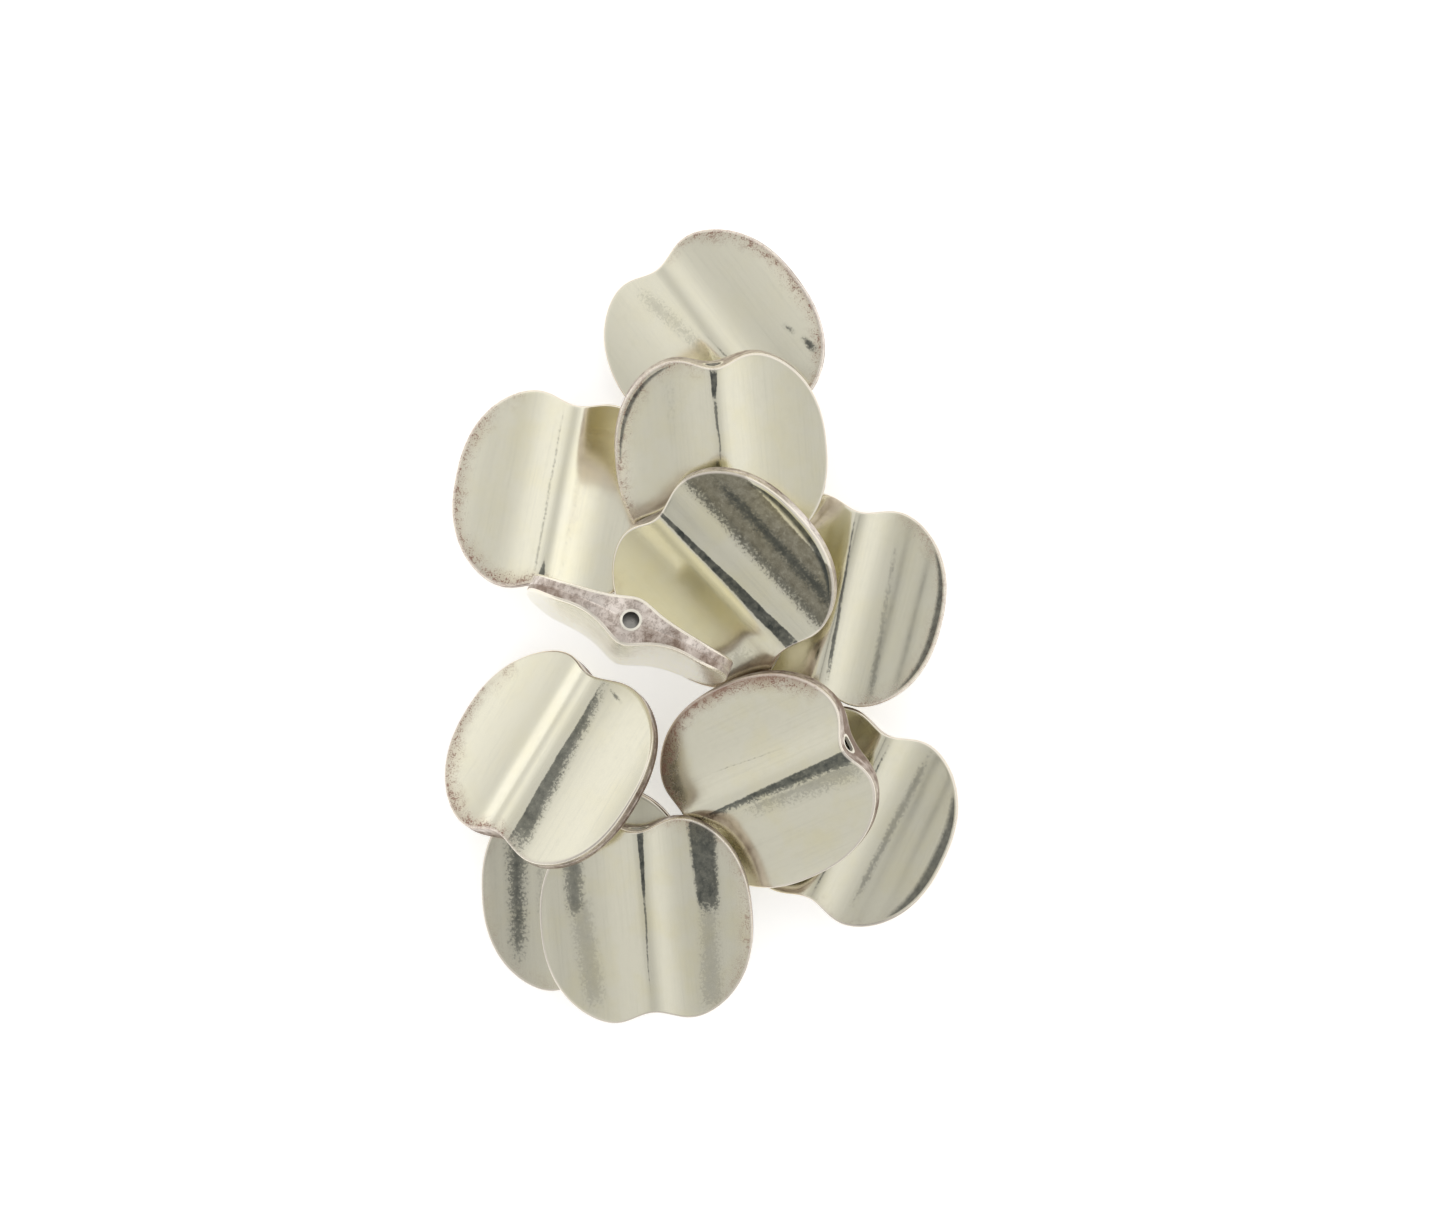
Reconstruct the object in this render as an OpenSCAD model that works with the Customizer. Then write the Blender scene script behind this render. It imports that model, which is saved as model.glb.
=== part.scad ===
// Loose desk sculpture of hollow, silver-plated petals with a magnet in each crest.
// Every petal is two pressed shells soldered edge to edge; the petals lie, lean and
// stand on one another in a pile, held only by their magnets.

/* [Petal outline] */
// Width of a petal, across its crest
petal_w = 42; // [35:0.1:50.5]
// Length of a petal along its crest, before the end notches are taken out
petal_l = 43; // [35.8:0.1:52]
// Squareness of the outline: 2 is an ellipse
outline_power = 2.35; // [2:0.05:3]
// Depth of the notch at each end of the crest
notch_d = 3.4; // [1:0.01:5]
// Half width of the notch
notch_w = 6; // [4:0.5:8]

/* [Petal section] */
// Height of the crest on the dished face, above the seam
crest_up = 4.55; // [4.4:0.01:6]
// Depth of the crest on the bowed face, below the seam
crest_down = 5; // [4.5:0.01:6.5]
// Half width of the crest, at half its height
crest_w = 5.3; // [4.4:0.01:7]
// Height of the dished face's wings
wing_up = 1.4; // [1.1:0.01:2]
// Depth of the bowed face's wings
wing_down = 1.1; // [1:0.01:2]
// Rise of the dished face towards the rim
lip_rise = 0.9; // [0:0.1:1.5]
// Swell of the bowed face's wings
wing_bow = 0.55; // [0:0.05:1]

/* [Shells] */
// Thickness of the pressed sheet
sheet = 0.7; // [0.5:0.01:0.85]
// Vent hole in one end wall, drilled on the seam
vent_d = 3.2; // [2:0.01:3.9]

/* [Magnet] */
// Diameter of the rod magnet inside the crest
magnet_d = 6; // [4:0.1:7.2]
// Length of the rod magnet
magnet_l = 24; // [16:0.1:29]
// Width of the adhesive bed that holds the magnet
bed_w = 5; // [3:0.1:5.4]
// How far the bed stops short of each end of the magnet
bed_short = 2; // [1:0.5:5]

/* [Hidden] */
PETALS = 11;
PIECES = ["dished_shell", "bowed_shell", "magnet", "magnet_bed"];
SILVER = "#cdcac1";
PLATED_BACK = "#c4c0b5";
NICKEL = "#b9b8b4";
RESIN = "#8f8468";

function number(i) = str(i < 10 ? "0" : "", i);
function node_name(i, piece) = str("petal_", number(i), "_", piece);

half_w = petal_w / 2;
half_l = petal_l / 2;
// Steps round the outline and across the section
outline_steps = 64;
section_steps = 30;
// The section is drawn a little wider than the petal, and the outline trims it
trim = 1;
// Where the bowed wings swell, from the crest, and how wide the swell is
BOW_SHARE = 15.5 / 21;
bow_at = BOW_SHARE * half_w;
bow_w = 4;
lip_power = 8;

// One row per petal: x, y and height of its centre, the heading of its crest,
// the rise of the crest's leading end, the rise of its right wing, and 0 with
// the dished face up or 180 with the bowed face up
LYING = [
    [2.5, 56.7, 5, 127, 0, 9.7, 0],
    [3.9, 33.7, 12.9, 95, 14, -3, 0],
    [-28.5, 25.6, 6.15, 79, -5, -2, 180],
    [4.5, 8.9, 17, -47, -4, -20, 0],
    [27.7, 4.8, 4.6, 76, 0, 5.6, 180],
    [-29.9, -26.7, 12.1, 59, -7, 26, 0],
    [13.4, -30.7, 14.6, 25, 20, -3, 0],
    [29.6, -38.6, 4.6, 64.5, 0, 5.6, 180],
    [-10.8, -58.4, 14, 95, 4, 3, 0],
    [-23, -53.2, 5, 92.5, 0, 3, 0]
];
// The last petal stands on one end: x, y, height of its foot, heading, lean of
// its crest from the level, and the turn that faces its dished side
STANDING = [-13.9, -1.2, 11.6, 66.2, 82.7, 180];
// The petal that it stands on, and how far uphill of its foot its lobe meets that petal
STANDS_ON = 4;
LOBE_OUT = 9;

function dished(u, crest = crest_up, wing = wing_up, reach = crest_w, lip = lip_rise, half = half_w) =
    wing + (crest - wing) / (1 + pow(u / reach, 2))
    + lip * pow(min(1, abs(u) / half), lip_power);
function bowed(u, crest = crest_down, wing = wing_down, reach = crest_w, bow = wing_bow, at = bow_at) =
    wing + (crest - wing) / (1 + pow(u / reach, 2))
    + bow * exp(-pow((abs(u) - at) / bow_w, 2));

function radius(a, w, l, power) =
    pow(pow(abs(cos(a)) / w, power) + pow(abs(sin(a)) / l, power), -1 / power);
function rim_point(a, w, l, power = outline_power, notch = notch_d, reach = notch_w) =
    let (r = radius(a, w, l, power), u = r * cos(a))
    [u, r * sin(a) - sin(a) * notch * exp(-pow(u / reach, 2))];

// The pile was arranged with petals of these sizes. Its places spread sideways as the
// outline outgrows them, and rise as either face does, so that what lay clear stays
// clear.
ARRANGED_W = 42;
ARRANGED_L = 43;
ARRANGED_POWER = 2.35;
ARRANGED_NOTCH = [3.4, 6];
ARRANGED_DISHED = [4.55, 1.4, 5.3, 0.9];
ARRANGED_BOWED = [5, 1.1, 5.3, 0.55];
function arranged_rim(a) =
    rim_point(a, ARRANGED_W / 2, ARRANGED_L / 2, ARRANGED_POWER, ARRANGED_NOTCH[0], ARRANGED_NOTCH[1]);
function arranged_dished(u) =
    let (s = ARRANGED_DISHED) dished(u, s[0], s[1], s[2], s[3], ARRANGED_W / 2);
function arranged_bowed(u) =
    let (s = ARRANGED_BOWED) bowed(u, s[0], s[1], s[2], s[3], BOW_SHARE * ARRANGED_W / 2);
spread = max([for (a = [0:5:90]) norm(rim_point(a, half_w, half_l)) / norm(arranged_rim(a))]);
stack = max([for (share = [0:0.05:1])
    let (now = share * half_w, then = share * ARRANGED_W / 2)
    max(dished(now) / arranged_dished(then), bowed(now) / arranged_bowed(then))]);

// The petal's outline, seen square to its faces, drawn in from the rim by inset
module outline(inset) {
    polygon([for (i = [0:outline_steps - 1])
        rim_point((i + 0.5) * 360 / outline_steps, half_w - inset, half_l - inset)]);
}

// One face's side of the section, from past the seam out to the face
module section(up, inset, past_seam) {
    reach = half_w + trim;
    face = [for (i = [0:section_steps])
        let (u = reach * (2 * i / section_steps - 1))
        [u, up ? dished(u) - inset : inset - bowed(u)]];
    seam = up ? -past_seam : past_seam;
    polygon(concat([[-reach, seam]], face, [[reach, seam]]));
}

// The space between the seam and one face, with u across X and the crest along Y
module half_petal(up, inset, past_seam) {
    intersection() {
        translate([0, half_l + trim, 0]) rotate([90, 0, 0])
            linear_extrude(petal_l + 2 * trim) section(up, inset, past_seam);
        translate([0, 0, -crest_down - trim])
            linear_extrude(crest_up + crest_down + 2 * trim) outline(inset);
    }
}

// A pressed shell: the half petal less its hollow, with half of the vent hole
module shell(up) {
    difference() {
        half_petal(up, 0, 0);
        half_petal(up, sheet, trim);
        translate([0, half_l / 2, 0]) rotate([-90, 0, 0]) cylinder(d = vent_d, h = half_l, $fn = 48);
    }
}

// The magnet lies midway between the two crests
module magnet_rod(length) {
    translate([0, length / 2, (crest_up - crest_down) / 2]) rotate([90, 0, 0])
        cylinder(d = magnet_d, h = length, $fn = 48);
}

// Adhesive between the magnet and the bowed shell's crest
module magnet_bed() {
    bed_l = magnet_l - 2 * bed_short;
    magnet_z = (crest_up - crest_down) / 2;
    difference() {
        intersection() {
            half_petal(false, sheet, trim);
            translate([-bed_w / 2, -bed_l / 2, -crest_down])
                cube([bed_w, bed_l, crest_down + magnet_z - magnet_d / 6]);
        }
        magnet_rod(petal_l);
    }
}

module piece(name) {
    if (name == "dished_shell") color(SILVER) shell(true);
    if (name == "bowed_shell") color(PLATED_BACK) shell(false);
    if (name == "magnet") color(NICKEL) magnet_rod(magnet_l);
    if (name == "magnet_bed") color(RESIN) magnet_bed();
}

// A tilt keeps its contacts when the pile grows sideways more than it thickens
function leaned(angle) = atan(tan(angle) * stack / spread);

// The standing petal rises with its uphill lobe when the slope under it grows steeper
SLOPE_UNDER = abs(LYING[STANDS_ON - 1][5]);
lobe_rise = LOBE_OUT * (tan(leaned(SLOPE_UNDER)) * petal_w / ARRANGED_W - tan(SLOPE_UNDER));

module placed(i) {
    if (i <= len(LYING)) {
        p = LYING[i - 1];
        translate([p[0] * spread, p[1] * spread, p[2] * stack])
            rotate([0, 0, p[3] - 90]) rotate([leaned(p[4]), 0, 0]) rotate([0, p[6] - leaned(p[5]), 0])
                children();
    } else {
        s = STANDING;
        translate([s[0] * spread, s[1] * spread, s[2] * stack + lobe_rise + half_l * sin(s[4])])
            rotate([0, 0, s[3] - 90]) rotate([s[4], 0, 0]) rotate([0, s[5], 0])
                children();
    }
}

for (i = [1:PETALS])
    for (name = PIECES)
        placed(i) piece(name);
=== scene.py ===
import math

import bpy
from mathutils import Matrix, Vector


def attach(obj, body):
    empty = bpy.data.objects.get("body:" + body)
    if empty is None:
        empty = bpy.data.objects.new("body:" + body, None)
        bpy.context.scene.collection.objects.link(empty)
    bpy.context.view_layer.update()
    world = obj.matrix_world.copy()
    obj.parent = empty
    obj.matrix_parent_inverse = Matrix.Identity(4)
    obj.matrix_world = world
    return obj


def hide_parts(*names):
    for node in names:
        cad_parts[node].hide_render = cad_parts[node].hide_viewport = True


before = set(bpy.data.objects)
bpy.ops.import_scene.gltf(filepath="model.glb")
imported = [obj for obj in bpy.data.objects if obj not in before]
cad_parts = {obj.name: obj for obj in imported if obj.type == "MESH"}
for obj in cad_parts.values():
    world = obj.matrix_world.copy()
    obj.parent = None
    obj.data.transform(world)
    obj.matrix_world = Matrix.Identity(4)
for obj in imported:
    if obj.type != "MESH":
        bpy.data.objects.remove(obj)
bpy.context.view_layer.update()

# Camera: straight above the pile, held level over a light table, on a long lens. It looks
# at a point a few millimetres from the pile's middle.
CAMERA_OVER = (0.0042, 0.0027)
CAMERA_HEIGHT = 0.7
LENS = 86.3
camera = bpy.data.objects.new("camera", bpy.data.cameras.new("camera"))
camera.data.lens = LENS
camera.data.sensor_width = 36
camera.location = (*CAMERA_OVER, CAMERA_HEIGHT)
bpy.context.scene.collection.objects.link(camera)
bpy.context.scene.camera = camera
bpy.context.scene.view_settings.view_transform = "Standard"


# Petal shells: each petal is two pressed silver-plated copper shells, a dished one and
# a bowed one. A blank is cut to the outline, pressed over a crested former, trimmed at
# the seam, and half of the vent is drilled in its end wall.
class Reading:
    """A value in a node tree. Arithmetic on it adds the tree's Math nodes."""

    def __init__(self, tree, made, output):
        self.tree, self.made, self.socket = tree, made, made.outputs[output]

    def also(self, output):
        return Reading(self.tree, self.made, output)

    def math(self, operation, *others, first=None):
        sockets = dict(enumerate((self if first is None else first, *others)))
        return self.tree.node("ShaderNodeMath", {"operation": operation}, sockets)

    def __add__(self, other):
        return self.math("ADD", other)

    def __radd__(self, other):
        return self.math("ADD", other)

    def __sub__(self, other):
        return self.math("SUBTRACT", other)

    def __rsub__(self, other):
        return self.math("SUBTRACT", self, first=other)

    def __mul__(self, other):
        return self.math("MULTIPLY", other)

    def __rmul__(self, other):
        return self.math("MULTIPLY", other)

    def __truediv__(self, other):
        return self.math("DIVIDE", other)

    def __rtruediv__(self, other):
        return self.math("DIVIDE", self, first=other)

    def __neg__(self):
        return self.math("MULTIPLY", -1.0)

    def __pow__(self, other):
        return self.math("POWER", other)

    def __abs__(self):
        return self.math("ABSOLUTE")

    def least(self, other):
        return self.math("MINIMUM", other)

    def most(self, other):
        return self.math("MAXIMUM", other)

    def held(self):
        """Kept between 0 and 1."""
        return self.most(0.0).least(1.0)


class Tree:
    """A node tree, and the one way that nodes are added to it."""

    def __init__(self, tree):
        self.tree = tree

    def node(self, kind, settings=None, sockets=None, output=0):
        made = self.tree.nodes.new(kind)
        for name, value in (settings or {}).items():
            if name == "stops":
                ramp = made.color_ramp.elements
                while len(ramp) < len(value):
                    ramp.new(1.0)
                for stop, (at, colour) in zip(ramp, value):
                    stop.position, stop.color = at, (*colour, 1.0)
            else:
                setattr(made, name, value)
        for name, value in (sockets or {}).items():
            if isinstance(value, Reading):
                self.tree.links.new(value.socket, made.inputs[name])
            else:
                made.inputs[name].default_value = value
        return Reading(self, made, output)


MM = 0.001
PETAL_W, PETAL_L = 42 * MM, 43 * MM
SHEET = 0.7 * MM
VENT_D = 3.2 * MM
DRILL_DEPTH, DRILL_IN = 12 * MM, 3 * MM
# The pressed edge's bend, how far the wall is drawn in at the seam, and the share of the
# wall's height at which it starts to be
EDGE_R = 0.55 * MM
SEAM_IN, SEAM_SHARE = 0.12 * MM, 0.14
RIPPLE = 0.12 * MM
CRISP_ANGLE = 32
# The former: the outline with its two end notches, and then each face's section, from
# the crest down to the wing.
FORMER = {
    "Half width": PETAL_W / 2, "Half length": PETAL_L / 2, "Squareness": 2.35,
    "Notch depth": 3.4 * MM, "Notch half width": 6 * MM, "Crest half width": 5.3 * MM,
}
# How sharply the dished rim turns up, and where the bowed wings swell and how widely
LIP_POWER = 8.0
BOW_SHARE, BOW_W = 15.5 / 21, 4 * MM
FACES = {
    "dished_shell": {"Side": 1.0, "Crest": 4.55 * MM, "Wing": 1.4 * MM,
                     "Lip rise": 0.9 * MM, "Swell": 0.0},
    "bowed_shell": {"Side": -1.0, "Crest": 5 * MM, "Wing": 1.1 * MM,
                    "Lip rise": 0.0, "Swell": 0.55 * MM},
}


def blank(name):
    """The cut blank: rings from the middle of the face, over the rim, down the wall to
    the seam, and back up inside. Each point knows its turn round the outline, its
    reach towards the rim, its share of the face's height and its depth below it."""
    steps, face_rings, bend_rings, wall_rings, inner_rings = 224, 46, 6, 4, 14
    half_w = PETAL_W / 2
    rings = []
    for i in range(1, face_rings + 1):
        rings.append(((1 - EDGE_R / half_w) * i / face_rings, 1.0, 0.0))
    for i in range(1, bend_rings + 1):
        bend = math.pi / 2 * i / bend_rings
        rings.append((1 - EDGE_R * (1 - math.sin(bend)) / half_w, 1.0,
                      EDGE_R * (1 - math.cos(bend))))
    for i in range(1, wall_rings):
        rings.append((1.0, 1 - i / wall_rings, EDGE_R))
    rings += [(1.0, SEAM_SHARE, EDGE_R), (1 - SEAM_IN / half_w, 0.0, EDGE_R)]
    inner = 1 - SHEET / half_w
    rings += [(inner, 0.0, SHEET), (inner, 0.5, SHEET)]
    for i in range(inner_rings, 0, -1):
        rings.append((inner * i / inner_rings, 1.0, SHEET))
    turns = [2 * math.pi * (j + 0.5) / steps for j in range(steps)]
    values = [(0.0, 0.0, 1.0, 0.0)]
    values += [(turn, *ring) for ring in rings for turn in turns]
    values.append((0.0, 0.0, 1.0, SHEET))
    last = len(values) - 1
    faces = []
    for j in range(steps):
        k = (j + 1) % steps
        faces.append((0, 1 + j, 1 + k))
        for i in range(len(rings) - 1):
            near, far = 1 + i * steps, 1 + (i + 1) * steps
            faces.append((near + j, far + j, far + k, near + k))
        end = 1 + (len(rings) - 1) * steps
        faces.append((end + j, last, end + k))
    mesh = bpy.data.meshes.new(name)
    mesh.from_pydata([(0, 0, 0)] * len(values), [], faces)
    for slot, label in enumerate(("turn", "reach", "share", "depth")):
        layer = mesh.attributes.new(label, "FLOAT", "POINT")
        layer.data.foreach_set("value", [v[slot] for v in values])
    return mesh


def press():
    """The former as a rule: an outline with a notch at each end of the crest, and a
    section that is the same all along the crest."""
    group = bpy.data.node_groups.new("petal former", "GeometryNodeTree")
    tree = Tree(group)
    face = group.interface.new_socket
    face("Blank", in_out="INPUT", socket_type="NodeSocketGeometry")
    lengths = [*FORMER, "Side", "Crest", "Wing", "Lip rise", "Swell", "Vent diameter",
               "Ripple", "Seed"]
    for name in lengths:
        face(name, in_out="INPUT", socket_type="NodeSocketFloat")
    for name in ("Centre", "Turn"):
        face(name, in_out="INPUT", socket_type="NodeSocketVector")
    face("Plate", in_out="INPUT", socket_type="NodeSocketMaterial")
    face("Shell", in_out="OUTPUT", socket_type="NodeSocketGeometry")
    given = tree.node("NodeGroupInput", output="Blank")
    size = {name: given.also(name) for name in lengths}

    def marked(label):
        return tree.node("GeometryNodeInputNamedAttribute", {"data_type": "FLOAT"},
                         {"Name": label})

    turn, reach, share, depth = map(marked, ("turn", "reach", "share", "depth"))
    across, along = turn.math("COSINE"), turn.math("SINE")
    power = size["Squareness"]
    radius = ((abs(across) / size["Half width"]) ** power
              + (abs(along) / size["Half length"]) ** power) ** (-1.0 / power)
    rim_u = radius * across
    notch = size["Notch depth"] * (-((rim_u / size["Notch half width"]) ** 2.0)).math("EXPONENT")
    u = reach * rim_u
    v = reach * (radius * along - along * notch)
    from_crest = abs(u) / size["Crest half width"]
    lip = size["Lip rise"] * (abs(u) / size["Half width"]).least(1.0) ** LIP_POWER
    bow = (abs(u) - size["Half width"] * BOW_SHARE) / BOW_W
    swell = size["Swell"] * (-(bow ** 2.0)).math("EXPONENT")
    height = (size["Wing"] + (size["Crest"] - size["Wing"]) / (1.0 + from_crest ** 2.0)
              + lip + swell)
    flat = tree.node("ShaderNodeCombineXYZ", None, {"X": u, "Y": v})
    ripple = tree.node("ShaderNodeTexNoise", {"noise_dimensions": "4D"},
                       {"Vector": flat, "W": size["Seed"], "Scale": 75.0, "Detail": 1.0})
    level = share * (height - depth) + share * (ripple - 0.5) * size["Ripple"]
    pressed = tree.node("GeometryNodeSetPosition", None, {
        "Geometry": given,
        "Position": tree.node("ShaderNodeCombineXYZ", None,
                              {"X": u, "Y": v, "Z": level * size["Side"]})})
    turned_out = tree.node("GeometryNodeFlipFaces", None, {
        "Mesh": pressed, "Selection": size["Side"].math("LESS_THAN", 0.0)})
    drill = tree.node("GeometryNodeMeshCylinder", None, {
        "Vertices": 40, "Radius": size["Vent diameter"] / 2.0, "Depth": DRILL_DEPTH})
    placed = tree.node("GeometryNodeTransform", None, {
        "Geometry": drill, "Translation": (0, PETAL_L / 2 - DRILL_IN, 0),
        "Rotation": (math.pi / 2, 0, 0)})
    drilled = tree.node("GeometryNodeMeshBoolean",
                        {"operation": "DIFFERENCE", "solver": "EXACT"},
                        {"Mesh 1": turned_out, "Mesh 2": placed})
    place = tree.node("ShaderNodeVectorMath", {"operation": "SCALE"}, {
        "Vector": tree.node("GeometryNodeInputPosition"), "Scale": 1 / MM})
    marked_out = tree.node("GeometryNodeStoreNamedAttribute",
                           {"data_type": "FLOAT_VECTOR", "domain": "POINT"},
                           {"Geometry": drilled, "Name": "on_petal", "Value": place})
    laid = tree.node("GeometryNodeTransform", None, {
        "Geometry": marked_out, "Translation": given.also("Centre"),
        "Rotation": given.also("Turn")})
    smooth = tree.node("GeometryNodeSetShadeSmooth", {"domain": "FACE"}, {"Geometry": laid})
    crisp = tree.node("GeometryNodeSetShadeSmooth", {"domain": "EDGE"}, {
        "Geometry": smooth, "Shade Smooth": False,
        "Selection": tree.node("GeometryNodeInputMeshEdgeAngle").math(
            "GREATER_THAN", math.radians(CRISP_ANGLE))})
    whole = tree.node("GeometryNodeRealizeInstances", None, {"Geometry": crisp})
    plated = tree.node("GeometryNodeSetMaterial", None,
                       {"Geometry": whole, "Material": given.also("Plate")})
    end = group.nodes.new("NodeGroupOutput")
    group.links.new(plated.socket, end.inputs["Shell"])
    return group


former = press()
socket_of = {item.name: item.identifier for item in former.interface.items_tree
             if item.in_out == "INPUT"}


# The last petal stands on one end: its foot's height, the rise of its crest, and the
# height of its middle over its foot.
FOOT_Z, STANDING_RISE = 11.6, 82.7
STANDS_TALL = 21.5 * math.sin(math.radians(STANDING_RISE))
# Where each petal lies: the middle of its seam in millimetres, its crest's heading, the
# rise of the crest's leading end and of its right wing, and how far it is turned over.
# They are the placements of the solid model.
LIES = {
    "petal_01": (2.5, 56.7, 5, 127, 0, 9.7, 0),
    "petal_02": (3.9, 33.7, 12.9, 95, 14, -3, 0),
    "petal_03": (-28.5, 25.6, 6.15, 79, -5, -2, 180),
    "petal_04": (4.5, 8.9, 17, -47, -4, -20, 0),
    "petal_05": (27.7, 4.8, 4.6, 76, 0, 5.6, 180),
    "petal_06": (-29.9, -26.7, 12.1, 59, -7, 26, 0),
    "petal_07": (13.4, -30.7, 14.6, 25, 20, -3, 0),
    "petal_08": (29.6, -38.6, 4.6, 64.5, 0, 5.6, 180),
    "petal_09": (-10.8, -58.4, 14, 95, 4, 3, 0),
    "petal_10": (-23, -53.2, 5, 92.5, 0, 3, 0),
    "petal_11": (-13.9, -1.2, FOOT_Z + STANDS_TALL, 66.2, STANDING_RISE, 0, 180),
}


def turned(heading, rise, roll, over):
    return (Matrix.Rotation(math.radians(heading - 90), 3, "Z")
            @ Matrix.Rotation(math.radians(rise), 3, "X")
            @ Matrix.Rotation(math.radians(over - roll), 3, "Y")).to_euler()


# The plate: thin silver over copper, polished and then worn. Dark smears beside the crests and
# crescents inside the rims are tarnish together with painted reflection of the dark camera,
# olive-brown patches are tarnish with painted shade, the copper shows through at the rims, a pale
# pink band along each lip is a painted highlight, the burr round each vent is painted pale as a
# highlight, and streaks and specks cover the faces.
SILVER, YELLOWED, STREAKED = (0.80, 0.768, 0.635), (0.80, 0.74, 0.49), (0.66, 0.635, 0.535)
# The dark tarnish colour is also painted reflection, and the olive brown is tarnish with painted
# shade.
COPPER_BROWN, OLIVE_BROWN, TARNISH_AND_REFLECTION = (0.36, 0.23, 0.18), (0.115, 0.10, 0.065), (0.05, 0.057, 0.054)
# The pale pink is a painted highlight on each lip, and the burr's pale is a painted highlight round
# each vent.
LIP_HIGHLIGHT_PINK, BURR_HIGHLIGHT_PALE = (0.88, 0.80, 0.72), (0.9, 0.86, 0.76)
WALL_PALE, WALL_BROWN, WALL_SPECK = (0.80, 0.72, 0.66), (0.30, 0.225, 0.18), (0.14, 0.10, 0.08)
# Where the burr runs round the vent and half its width, and half a petal, in millimetres
BURR_AT, BURR_HALF = 1.75, 0.4
HALF_PETAL = 21.0


def toned(colour, tone=1.0):
    return (*(channel * tone for channel in colour), 1)


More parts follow.
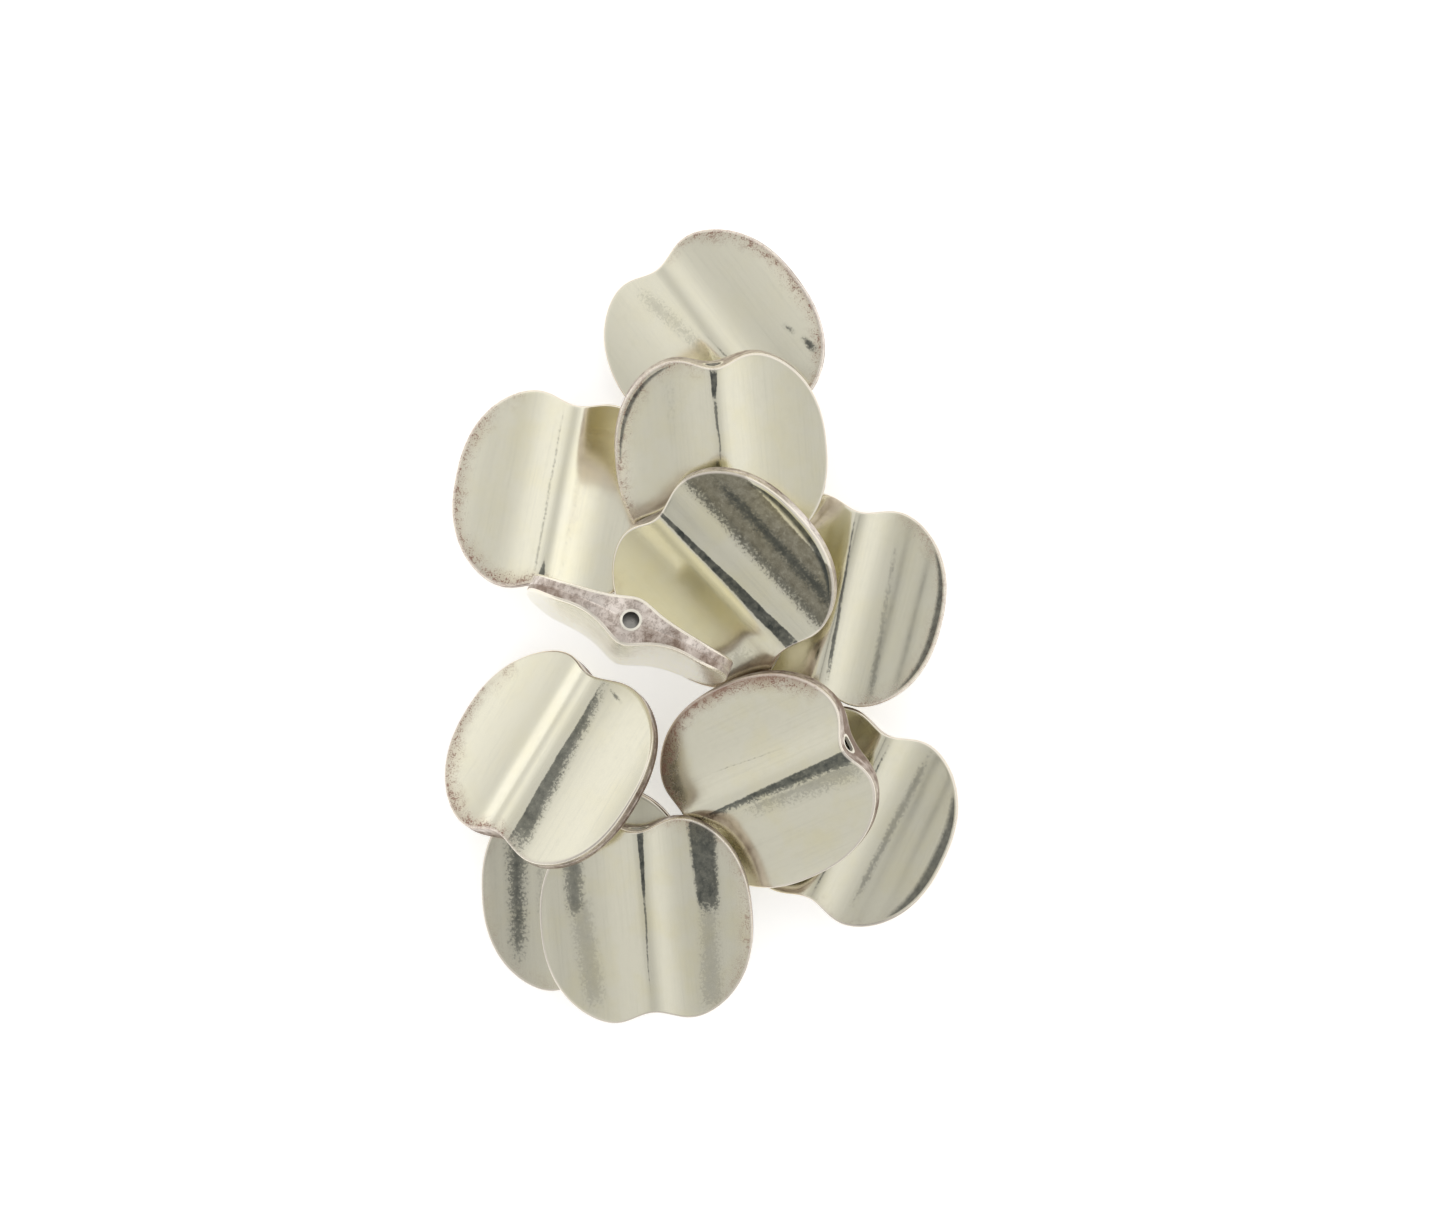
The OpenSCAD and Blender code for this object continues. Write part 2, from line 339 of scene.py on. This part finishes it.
def silver_plate(name, seed, upper, smears, olive_tarnish_and_shade_paths, crescents, tone, yellow, worn, worn_way,
                 wall_brown):
    material = bpy.data.materials.new(name)
    material.use_nodes = True
    tree = Tree(material.node_tree)
    skin = material.node_tree.nodes["Principled BSDF"]
    place = tree.node("ShaderNodeAttribute", {"attribute_name": "on_petal"}, output="Vector")
    reach = tree.node("ShaderNodeAttribute", {"attribute_name": "reach"}, output="Fac")
    share = tree.node("ShaderNodeAttribute", {"attribute_name": "share"}, output="Fac")
    split = tree.node("ShaderNodeSeparateXYZ", None, {"Vector": place})
    u, v, w = split, split.also("Y"), split.also("Z")

    def noise(scale, detail=2.0, rough=0.5, shift=0.0, of=place):
        return tree.node("ShaderNodeTexNoise", {"noise_dimensions": "4D"},
                         {"Vector": of, "W": seed + shift, "Scale": scale,
                          "Detail": detail, "Roughness": rough})

    def mix(amount, first, second):
        return tree.node("ShaderNodeMix", {"data_type": "RGBA"},
                         {0: amount, 6: first, 7: second}, output=2)

    grain = noise(3.6, 1.5, 0.6)
    cloud = noise(0.13, 3.0, 0.55, 3.1)
    mottle = noise(0.75, 4.0, 0.7, 7.7)
    drawn = tree.node("ShaderNodeCombineXYZ", None, {"X": u * 2.2, "Y": v * 0.07, "Z": w})
    streak = noise(1.0, 3.0, 0.6, 5.3, drawn)
    dots = ((noise(1.7, 3.0, 0.65, 9.4) - 0.5) * 4.2 + 0.5).held()
    mottled = ((mottle - 0.5) * 3.0 + 0.5).held() * 0.22 + 0.78

    def speckled(cover, broken=0.6):
        """A dark patch of tarnish with painted reflection and shade: mottled where it covers fully,
        and broken into dots where it thins out."""
        dotted = ((cover * 1.5 - dots) * 1.6).held() * (cover * 6.0).held()
        return (dotted * broken + cover * (1.0 - broken)) * mottled

    def smeared(paths):
        covered = None
        for u0, v0, u1, v1, wide0, wide1, feather_low, feather_high, strength in paths:
            run = math.hypot(u1 - u0, v1 - v0)
            du, dv = (u1 - u0) / run, (v1 - v0) / run
            fade = max(2.0, 0.22 * run)
            way = (u - u0) * du + (v - v0) * dv
            aside = (u - u0) * dv - (v - v0) * du + (cloud - 0.5) * 0.8
            half = wide0 + (wide1 - wide0) / run * way.most(0.0).least(run)
            low = ((half + aside) / feather_low).held()
            high = ((half - aside) / feather_high).held()
            ends = (way / fade + 0.45).held() * ((run - way) / fade + 0.45).held()
            smear = speckled(low * high * ends) * strength
            covered = smear if covered is None else covered.most(smear)
        return covered

    # Painted reflection: the dark smears are tarnish and a painted reflection of the dark camera
    # above.
    dark = smeared(smears)
    # Painted reflection: dark crescents inside the rims, tarnish and reflection where the face
    # turns down.
    for (cx, cy), spread, outer, wide, strength in crescents:
        facing = (u * cx + v * cy) / ((u * u + v * v) ** 0.5 + 0.01)
        closing = ((facing - math.cos(spread)) / (1 - math.cos(spread))).held()
        inner_edge = ((reach - outer + wide * closing ** 0.6) / (0.4 * wide)).held()
        outer_edge = ((outer - reach) / 0.008).held()
        smear = speckled(inner_edge * outer_edge * (closing * 4.0).held(), 0.25) * strength
        dark = smear if dark is None else dark.most(smear)
    # Painted shade: olive-brown patches, tarnish darkened as shade from the neighbouring petals.
    brown = smeared(olive_tarnish_and_shade_paths)
    wall = ((0.985 - share) * 60.0).held()
    on_show = (1.0 - wall) * (w * upper + 0.5).held()
    toward = (u * worn_way[0] + v * worn_way[1]) / HALF_PETAL
    near_rim = ((reach - 0.80 + (cloud - 0.5) * 0.25) * 5.5).held()
    side = ((toward - 0.2 + (cloud - 0.5) * 0.8) * 2.4).held()
    specks = ((grain - 0.52 + (mottle - 0.5) * 0.9) * 9.0).held()
    rust = (near_rim * near_rim * side * worn * (0.28 + 0.85 * specks)).held() * (1.0 - wall)
    # Painted highlight: a pale pink band along the lip of every rim.
    lip = ((reach - 0.972) * 90.0).held() * (1.0 - wall)
    patch = ((cloud - 0.5 + (mottle - 0.5) * 0.6) * 2.6 + wall_brown
             + 0.35 * (w * -4.0).held() - 0.05).held()
    yellowing = (((cloud - 0.45) * 4.0).held() * yellow).held()
    colour = mix(yellowing, toned(SILVER, tone), toned(YELLOWED, tone))
    streaking = ((streak - 0.5) * 2.0).held() * 0.5 + ((mottle - 0.5) * 1.6).held() * 0.4
    colour = mix(streaking.held(), colour, toned(STREAKED, tone))
    colour = mix(rust, colour, toned(COPPER_BROWN))
    if brown is not None:
        colour = mix(brown * on_show, colour, toned(OLIVE_BROWN))
    if dark is not None:
        # Painted reflection and tarnish: the smears and crescents darken the face-up plate.
        colour = mix(dark * on_show, colour, toned(TARNISH_AND_REFLECTION))
    colour = mix(lip * 0.55, colour, toned(LIP_HIGHLIGHT_PINK))
    walls = mix(patch, toned(WALL_PALE), toned(WALL_BROWN))
    walls = mix(specks * 0.35, walls, toned(WALL_SPECK))
    colour = mix(wall, colour, walls)
    from_vent = (u * u + w * w) ** 0.5
    # Painted highlight: the burr round the vent is a raised ring painted pale where it would catch
    # the light.
    burr = ((BURR_HALF - abs(from_vent - BURR_AT)) * 6.0).held() * wall * (v * 0.5).held()
    colour = mix(burr, colour, toned(BURR_HIGHLIGHT_PALE))
    tree.tree.links.new(colour.socket, skin.inputs["Base Color"])
    skin.inputs["Metallic"].default_value = 1.0
    rough = 0.10 + 0.12 * mottle + 0.06 * streak + 0.35 * rust + wall * (0.1 + 0.3 * patch)
    tree.tree.links.new(rough.held().socket, skin.inputs["Roughness"])
    bump = tree.node("ShaderNodeBump", None, {
        "Strength": 0.5, "Distance": 0.00001,
        "Height": grain * 0.35 + mottle * 0.5 + streak * 0.3 + rust * 2.0 + burr * 6.0
                  + wall * (mottle * 5.0 + grain * 2.0)})
    tree.tree.links.new(bump.socket, skin.inputs["Normal"])
    return material


# How each petal has worn: the plate's brightness, how yellow it has gone, how brown its
# rim is and towards which compass angle on the table, and how brown its end walls are.
WEAR = {
    "petal_01": (1.12, 0.22, 1.5, 45, 0.3),
    "petal_02": (0.94, 0.4, 0.8, 170, 0.1),
    "petal_03": (1.12, 0.35, 1.5, 190, 0.3),
    "petal_04": (0.98, 0.45, 0.3, 250, 0.15),
    "petal_05": (0.97, 0.3, 0.6, -20, 0.3),
    "petal_06": (1.04, 0.25, 1.5, 190, 0.5),
    "petal_07": (0.88, 0.5, 2.6, 130, 0.7),
    "petal_08": (0.92, 0.4, 0.2, -60, 0.2),
    "petal_09": (0.91, 0.6, 0.7, 20, 0.45),
    "petal_10": (0.82, 0.3, 0.3, 200, 0.5),
    "petal_11": (0.97, 0.4, 0.5, 0, 0.35),
}
# Dark smears on each petal, tarnish together with painted reflection: from (u, v) to (u, v) in
# millimetres, half width at each end, how far each edge feathers out, and strength.
TARNISH_AND_REFLECTION_SMEARS = {
    "petal_01": [(-5.5, 16, -0.6, -9, 2.6, 1.6, 2.6, 2.6, 0.26),
                 (0, 3, 0.9, -8, 0.15, 0.45, 0.3, 0.6, 0.8),
                 (13.6, -6.4, 14, -8.2, 0.8, 0.8, 0.8, 0.8, 0.9),
                 (14.9, -10.6, 15.4, -13.8, 0.9, 1.2, 0.7, 0.9, 0.95)],
    "petal_02": [(-0.3, 18, -0.5, 12, 0.85, 0.5, 0.25, 0.25, 1.0),
                 (-0.5, 12, -0.3, -5, 0.5, 0.15, 0.3, 0.4, 0.9),
                 (-9, 16, -9.6, 4, 1.6, 1.2, 2.4, 2.4, 0.22)],
    "petal_03": [(2.4, 16, 1.8, -16.5, 0.35, 0.45, 0.5, 0.5, 0.5),
                 (0.4, -13.6, 0.2, -17.4, 0.3, 0.9, 0.3, 0.3, 0.9),
                 (-3.2, 16, -3.6, -16, 0.8, 0.8, 1.4, 1.4, 0.22)],
    "petal_04": [(-1.1, -20.5, -2.5, 21, 0.5, 1.45, 0.25, 0.35, 1.0),
                 (-9.0, -20, -9.2, 20, 1.6, 1.8, 1.8, 1.6, 0.5),
                 (-13.4, -15, -13.6, 19, 1.9, 2.2, 1.8, 2.2, 0.85)],
    "petal_05": [(0.6, 16.5, -1.6, -14.5, 0.3, 0.6, 0.3, 0.45, 0.9),
                 (-8.3, 15, -10.8, -17, 0.7, 1.1, 1.1, 1.1, 0.4)],
    "petal_06": [(3.9, 17, 5.4, -18.5, 1.2, 2.5, 2.2, 0.3, 0.86),
                 (5.3, 17.2, 7.8, 16.4, 0.5, 0.5, 0.5, 0.5, 0.75)],
    "petal_07": [(1.6, -15, 2.4, 22, 0.9, 2.2, 0.35, 1.8, 0.97),
                 (4.4, -6, 5.4, 20, 2.0, 3.0, 1.2, 3.6, 0.42),
                 (-6.0, -8, -4.8, 6, 0.18, 0.18, 0.3, 0.3, 0.6)],
    "petal_08": [(-1.3, 15, -0.5, -15, 0.4, 0.4, 0.35, 0.5, 0.9),
                 (-9.3, 17, -8.3, -15, 1.3, 1.1, 1.2, 1.2, 0.5)],
    "petal_09": [(0.6, 18.6, 0.2, 5, 0.75, 0.4, 0.25, 0.25, 1.0),
                 (0.2, 5, -0.2, -14, 0.4, 0.15, 0.3, 0.3, 0.85),
                 (12.6, 20, 12.8, 1, 3.4, 2.6, 1.4, 0.9, 0.95),
                 (-13.3, 17, -13.8, 2, 3.0, 2.4, 2.2, 2.2, 0.75),
                 (12.8, 6, 11.5, -18, 2.6, 3.4, 2.6, 2.6, 0.3),
                 (-13, 7, -11.5, -16, 3.2, 3.2, 2.6, 2.6, 0.3)],
    "petal_10": [(-13.4, 17, -14.2, -13, 3.4, 2.6, 3.0, 3.0, 0.9),
                 (-8.5, 14, -9, -6, 1.5, 1.5, 2.2, 2.2, 0.35)],
}
# Olive-brown patches, tarnish with painted shade and reflection of the neighbouring petals, given
# in the same way as smears.
OLIVE_TARNISH_AND_SHADE = {
    "petal_04": [(-12.8, -30, -12.8, 30, 5.8, 5.8, 0.5, 3.0, 0.9),
                 (8, 24, 9, 12, 7.0, 5.0, 5.0, 5.0, 0.35)],
    "petal_03": [(-12, 17, -13, 8, 3.4, 2.6, 2.5, 2.5, 0.35)],
}
# Dark crescents inside each rim, tarnish together with painted reflection where the face turns down
# to the rim: compass angle, half spread in degrees, how far out its edge is as a share of the
# petal's reach, its width as a share, and strength.
TARNISH_AND_REFLECTION_CRESCENTS = {
    "petal_01": [(5, 55, 1.0, 0.025, 0.6)],
    "petal_02": [(150, 36, 0.962, 0.055, 0.85)],
    "petal_04": [(34, 50, 0.962, 0.085, 1.0)],
    "petal_05": [(-15, 46, 0.97, 0.075, 0.85)],
    "petal_06": [(-48, 50, 1.0, 0.03, 0.85), (60, 30, 1.0, 0.03, 0.8)],
    "petal_07": [(-35, 60, 1.0, 0.025, 0.6)],
    "petal_08": [(-28, 44, 0.97, 0.11, 0.85), (-80, 35, 1.0, 0.03, 0.85)],
    "petal_09": [(-70, 75, 1.0, 0.03, 0.7), (170, 45, 1.0, 0.025, 0.6)],
    "petal_10": [(-110, 45, 1.0, 0.025, 0.6)],
}


def petal_way(turn, compass):
    """A compass direction on the table, as (u, v) on a petal that lies turned."""
    level = Vector((math.cos(math.radians(compass)), math.sin(math.radians(compass)), 0))
    way = turn.to_matrix().transposed() @ level
    return (way.x, way.y)


for number, (body, (x, y, z, heading, rise, roll, over)) in enumerate(LIES.items()):
    tone, yellow, worn, compass, wall_brown = WEAR[body]
    turn = turned(heading, rise, roll, over)
    crescents = [(petal_way(turn, angle), math.radians(spread), *rest)
                 for angle, spread, *rest in TARNISH_AND_REFLECTION_CRESCENTS.get(body, ())]
    upper = 1.0 if over == 0 else -1.0
    plate = silver_plate(f"{body} silver plate", 10.0 * number, upper, TARNISH_AND_REFLECTION_SMEARS.get(body, ()),
                         OLIVE_TARNISH_AND_SHADE.get(body, ()), crescents, tone, yellow, worn,
                         petal_way(turn, compass), wall_brown)
    for face, shape in FACES.items():
        node = f"{body}_{face}"
        work = bpy.data.objects.new(node + "_blank", blank(node + "_blank"))
        bpy.context.scene.collection.objects.link(work)
        pressing = work.modifiers.new("former", "NODES")
        pressing.node_group = former
        values = {**FORMER, **shape, "Vent diameter": VENT_D, "Ripple": RIPPLE,
                  "Seed": 3.7 * number + shape["Side"],
                  "Centre": Vector((x, y, z)) * MM,
                  "Turn": turn, "Plate": plate}
        for name, value in values.items():
            pressing[socket_of[name]] = value
        bpy.context.view_layer.update()
        seen = work.evaluated_get(bpy.context.evaluated_depsgraph_get())
        made = bpy.data.meshes.new_from_object(seen)
        bpy.data.objects.remove(work)
        piece = bpy.data.objects.new(node + "_plated", made)
        bpy.context.scene.collection.objects.link(piece)
        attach(piece, body)
        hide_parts(node)


# Magnets and their beds: a nickel-plated rod magnet in a saddle of amber resin, closed
# inside each petal along its crest. They keep the shape that the solid model has.
def sealed(name, colour, metallic, rough):
    material = bpy.data.materials.new(name)
    material.use_nodes = True
    tree = Tree(material.node_tree)
    skin = material.node_tree.nodes["Principled BSDF"]
    place = tree.node("ShaderNodeTexCoord", output="Object")
    streak = tree.node("ShaderNodeTexNoise", None, {"Vector": place, "Scale": 900.0, "Detail": 3.0})
    tint = tree.node("ShaderNodeMix", {"data_type": "RGBA"},
                     {0: streak, 6: (*colour, 1), 7: (*(c * 0.8 for c in colour), 1)}, output=2)
    tree.tree.links.new(tint.socket, skin.inputs["Base Color"])
    tree.tree.links.new((rough + 0.15 * streak).socket, skin.inputs["Roughness"])
    skin.inputs["Metallic"].default_value = metallic
    return material


nickel = sealed("magnet nickel", (0.66, 0.64, 0.6), 1.0, 0.22)
resin = sealed("adhesive resin", (0.5, 0.4, 0.22), 0.0, 0.3)
for name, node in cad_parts.items():
    if name.endswith(("_magnet", "_magnet_bed")):
        node.data.materials.clear()
        node.data.materials.append(nickel if name.endswith("_magnet") else resin)


# Floor: the white opal top of a light table, far wider than the view and lit from
# within. It lies a hair below the petals that rest on it.
FLOOR_HALF, FLOOR_Z, FLOOR_GLOW = 3.0, -0.0002, 0.45
floor_mesh = bpy.data.meshes.new("light_table")
floor_mesh.from_pydata([(-FLOOR_HALF, -FLOOR_HALF, 0), (FLOOR_HALF, -FLOOR_HALF, 0),
                        (FLOOR_HALF, FLOOR_HALF, 0), (-FLOOR_HALF, FLOOR_HALF, 0)],
                       [], [(0, 1, 2, 3)])
floor = bpy.data.objects.new("light_table", floor_mesh)
floor.location.z = FLOOR_Z
bpy.context.scene.collection.objects.link(floor)
opal = bpy.data.materials.new("opal glass")
opal.use_nodes = True
opal_skin = opal.node_tree.nodes["Principled BSDF"]
opal_skin.inputs["Base Color"].default_value = (0.9, 0.9, 0.9, 1)
opal_skin.inputs["Roughness"].default_value = 0.9
opal_skin.inputs["Emission Color"].default_value = (1, 1, 1, 1)
opal_skin.inputs["Emission Strength"].default_value = FLOOR_GLOW
floor_mesh.materials.append(opal)

# Tent: soft white light from all round, and the dark camera that looks down through
# the tent's opening and shows in every level patch of plate.
world = bpy.data.worlds.new("tent")
bpy.context.scene.world = world
world.use_nodes = True
tent = Tree(world.node_tree)
facing = tent.node("ShaderNodeTexCoord", output="Generated")
faced = tent.node("ShaderNodeSeparateXYZ", None, {"Vector": facing})
east, north, up = faced, faced.also("Y"), faced.also("Z")
TENT_GLOW, SIDE_GLOW, TOP_SHADE = 0.80, 0.45, 0.18
towards_lamp = (east * 0.6 + north * 0.8) / (1.02 - up * up) ** 0.5
lit_band = (1.0 - abs(up - 0.62) / 0.38).held()
glow = (TENT_GLOW + SIDE_GLOW * lit_band * (0.5 + 0.5 * towards_lamp).held()
        - TOP_SHADE * ((up - 0.8) * 5.0).held())
shade = tent.node("ShaderNodeCombineColor", None,
                  {"Red": glow, "Green": glow, "Blue": glow * 0.985})
tent.tree.links.new(shade.socket, world.node_tree.nodes["Background"].inputs["Color"])
opening = bpy.data.meshes.new("camera_body")
OPENING_R, OPENING_STEPS, OPENING_OVER = 0.045, 48, 0.02
rim_points = [(CAMERA_OVER[0] + OPENING_R * math.cos(2 * math.pi * i / OPENING_STEPS),
               CAMERA_OVER[1] + OPENING_R * math.sin(2 * math.pi * i / OPENING_STEPS),
               CAMERA_HEIGHT + OPENING_OVER) for i in range(OPENING_STEPS)]
opening.from_pydata(rim_points, [], [tuple(range(OPENING_STEPS))])
camera_body = bpy.data.objects.new("camera_body", opening)
bpy.context.scene.collection.objects.link(camera_body)
black = bpy.data.materials.new("camera black")
black.use_nodes = True
black_skin = black.node_tree.nodes["Principled BSDF"]
black_skin.inputs["Base Color"].default_value = (0.12, 0.125, 0.125, 1)
black_skin.inputs["Roughness"].default_value = 0.8
opening.materials.append(black)
camera_body.visible_camera = False
camera_body.visible_diffuse = False
camera_body.visible_shadow = False
